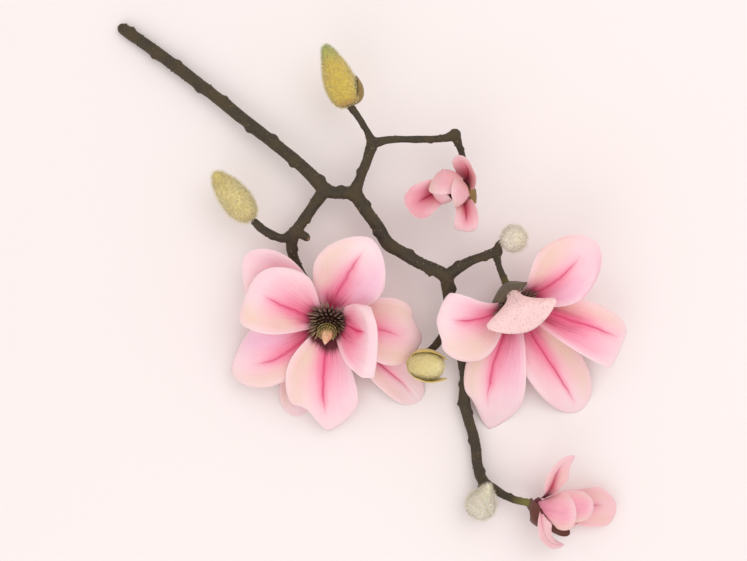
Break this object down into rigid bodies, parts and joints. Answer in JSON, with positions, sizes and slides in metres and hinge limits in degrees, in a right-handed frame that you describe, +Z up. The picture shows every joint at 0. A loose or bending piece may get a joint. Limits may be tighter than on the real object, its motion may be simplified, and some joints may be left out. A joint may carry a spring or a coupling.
{
  "type": "saucer magnolia branch",
  "caption": "Cut flowering twig lying flat: wide open pink blossoms, half open ones and fuzzy buds on a forked woody stem.",
  "frame": {"origin": "on the table, under the middle of the spray's box", "axes": "+Z up from the table it lies on; +Y along the picture's upward direction, +X to the picture's right"},
  "size_m": [0.3526, 0.3668, 0.0608],
  "materials": {
    "bark": "rough dark olive brown bark",
    "petal": "soft satin, deep pink at the base and along the midrib, cream pink at the rims",
    "stamen": "matt dark maroon with beige edges",
    "pistil": "matt yellow green with a peach tip",
    "bud_scale": "matt grey brown",
    "yellow_bud": "short yellow green down",
    "cream_bud": "soft cream down"
  },
  "bodies": {
    "root": {"branch": "bark", "left_bloom_tepals": "petal", "left_bloom_stamens": "stamen", "left_bloom_pistil": "pistil", "right_bloom_tepals": "petal", "right_bloom_stamens": "stamen", "right_bloom_pistil": "pistil", "right_bloom_bud_scale": "bud_scale", "top_bloom_tepals": "petal", "top_bloom_bud_scale": "bud_scale", "lower_bloom_tepals": "petal", "lower_bloom_bud_scale": "bud_scale", "bud_a": "yellow_bud", "bud_a_bract": "yellow_bud", "bud_b": "cream_bud", "bud_c": "cream_bud", "bud_d": "yellow_bud", "bud_d_scales": "yellow_bud", "bud_e": "cream_bud"}
  },
  "joints": []
}
